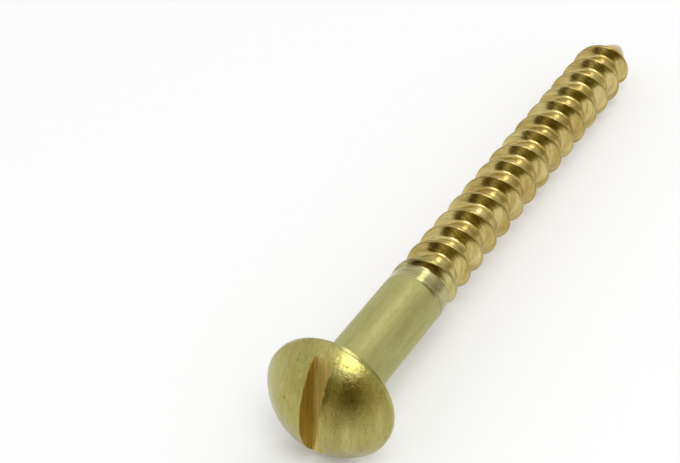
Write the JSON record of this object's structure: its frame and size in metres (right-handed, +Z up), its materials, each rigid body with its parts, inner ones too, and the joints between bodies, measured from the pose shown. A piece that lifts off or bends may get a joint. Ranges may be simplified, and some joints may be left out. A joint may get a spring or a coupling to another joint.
{
  "type": "round head wood screw",
  "caption": "Slotted round head wood screw in brass: domed head with a flat underside and low collar, plain shank, coarse right-hand thread and a smooth gimlet point.",
  "frame": {"origin": "middle of the lying screw's footprint, on the surface that it rests on", "axes": "+X along the screw from its head to its point (the screw's own axis dips 2.92 degrees below +X), +Z up"},
  "size_m": [0.0738, 0.0126, 0.0126],
  "materials": {
    "brass": "satin, turned, lightly marked"
  },
  "bodies": {
    "root": {"screw": "brass"}
  },
  "joints": []
}
